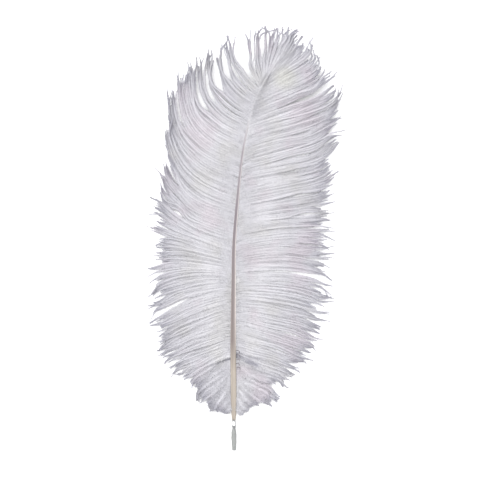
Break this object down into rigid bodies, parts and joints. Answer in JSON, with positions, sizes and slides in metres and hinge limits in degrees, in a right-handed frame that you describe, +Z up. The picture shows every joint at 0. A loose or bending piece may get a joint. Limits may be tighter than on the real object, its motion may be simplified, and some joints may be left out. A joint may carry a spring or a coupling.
{
  "type": "ostrich feather",
  "caption": "White ostrich plume lying on its back: a tapering grooved shaft with a clear quill end and long drooping locks of downy barbs on both sides, curling over at the tip.",
  "frame": {"origin": "under the middle of the plume's outline, on the surface that it rests on", "axes": "+Y from the quill's cut end towards the tip, +X to the right seen from the grooved side, +Z up out of the surface"},
  "size_m": [0.1444, 0.2998, 0.0271],
  "materials": {
    "barbs": "matte",
    "shaft": "satin"
  },
  "bodies": {
    "root": {"feather": "barbs"}
  },
  "joints": []
}
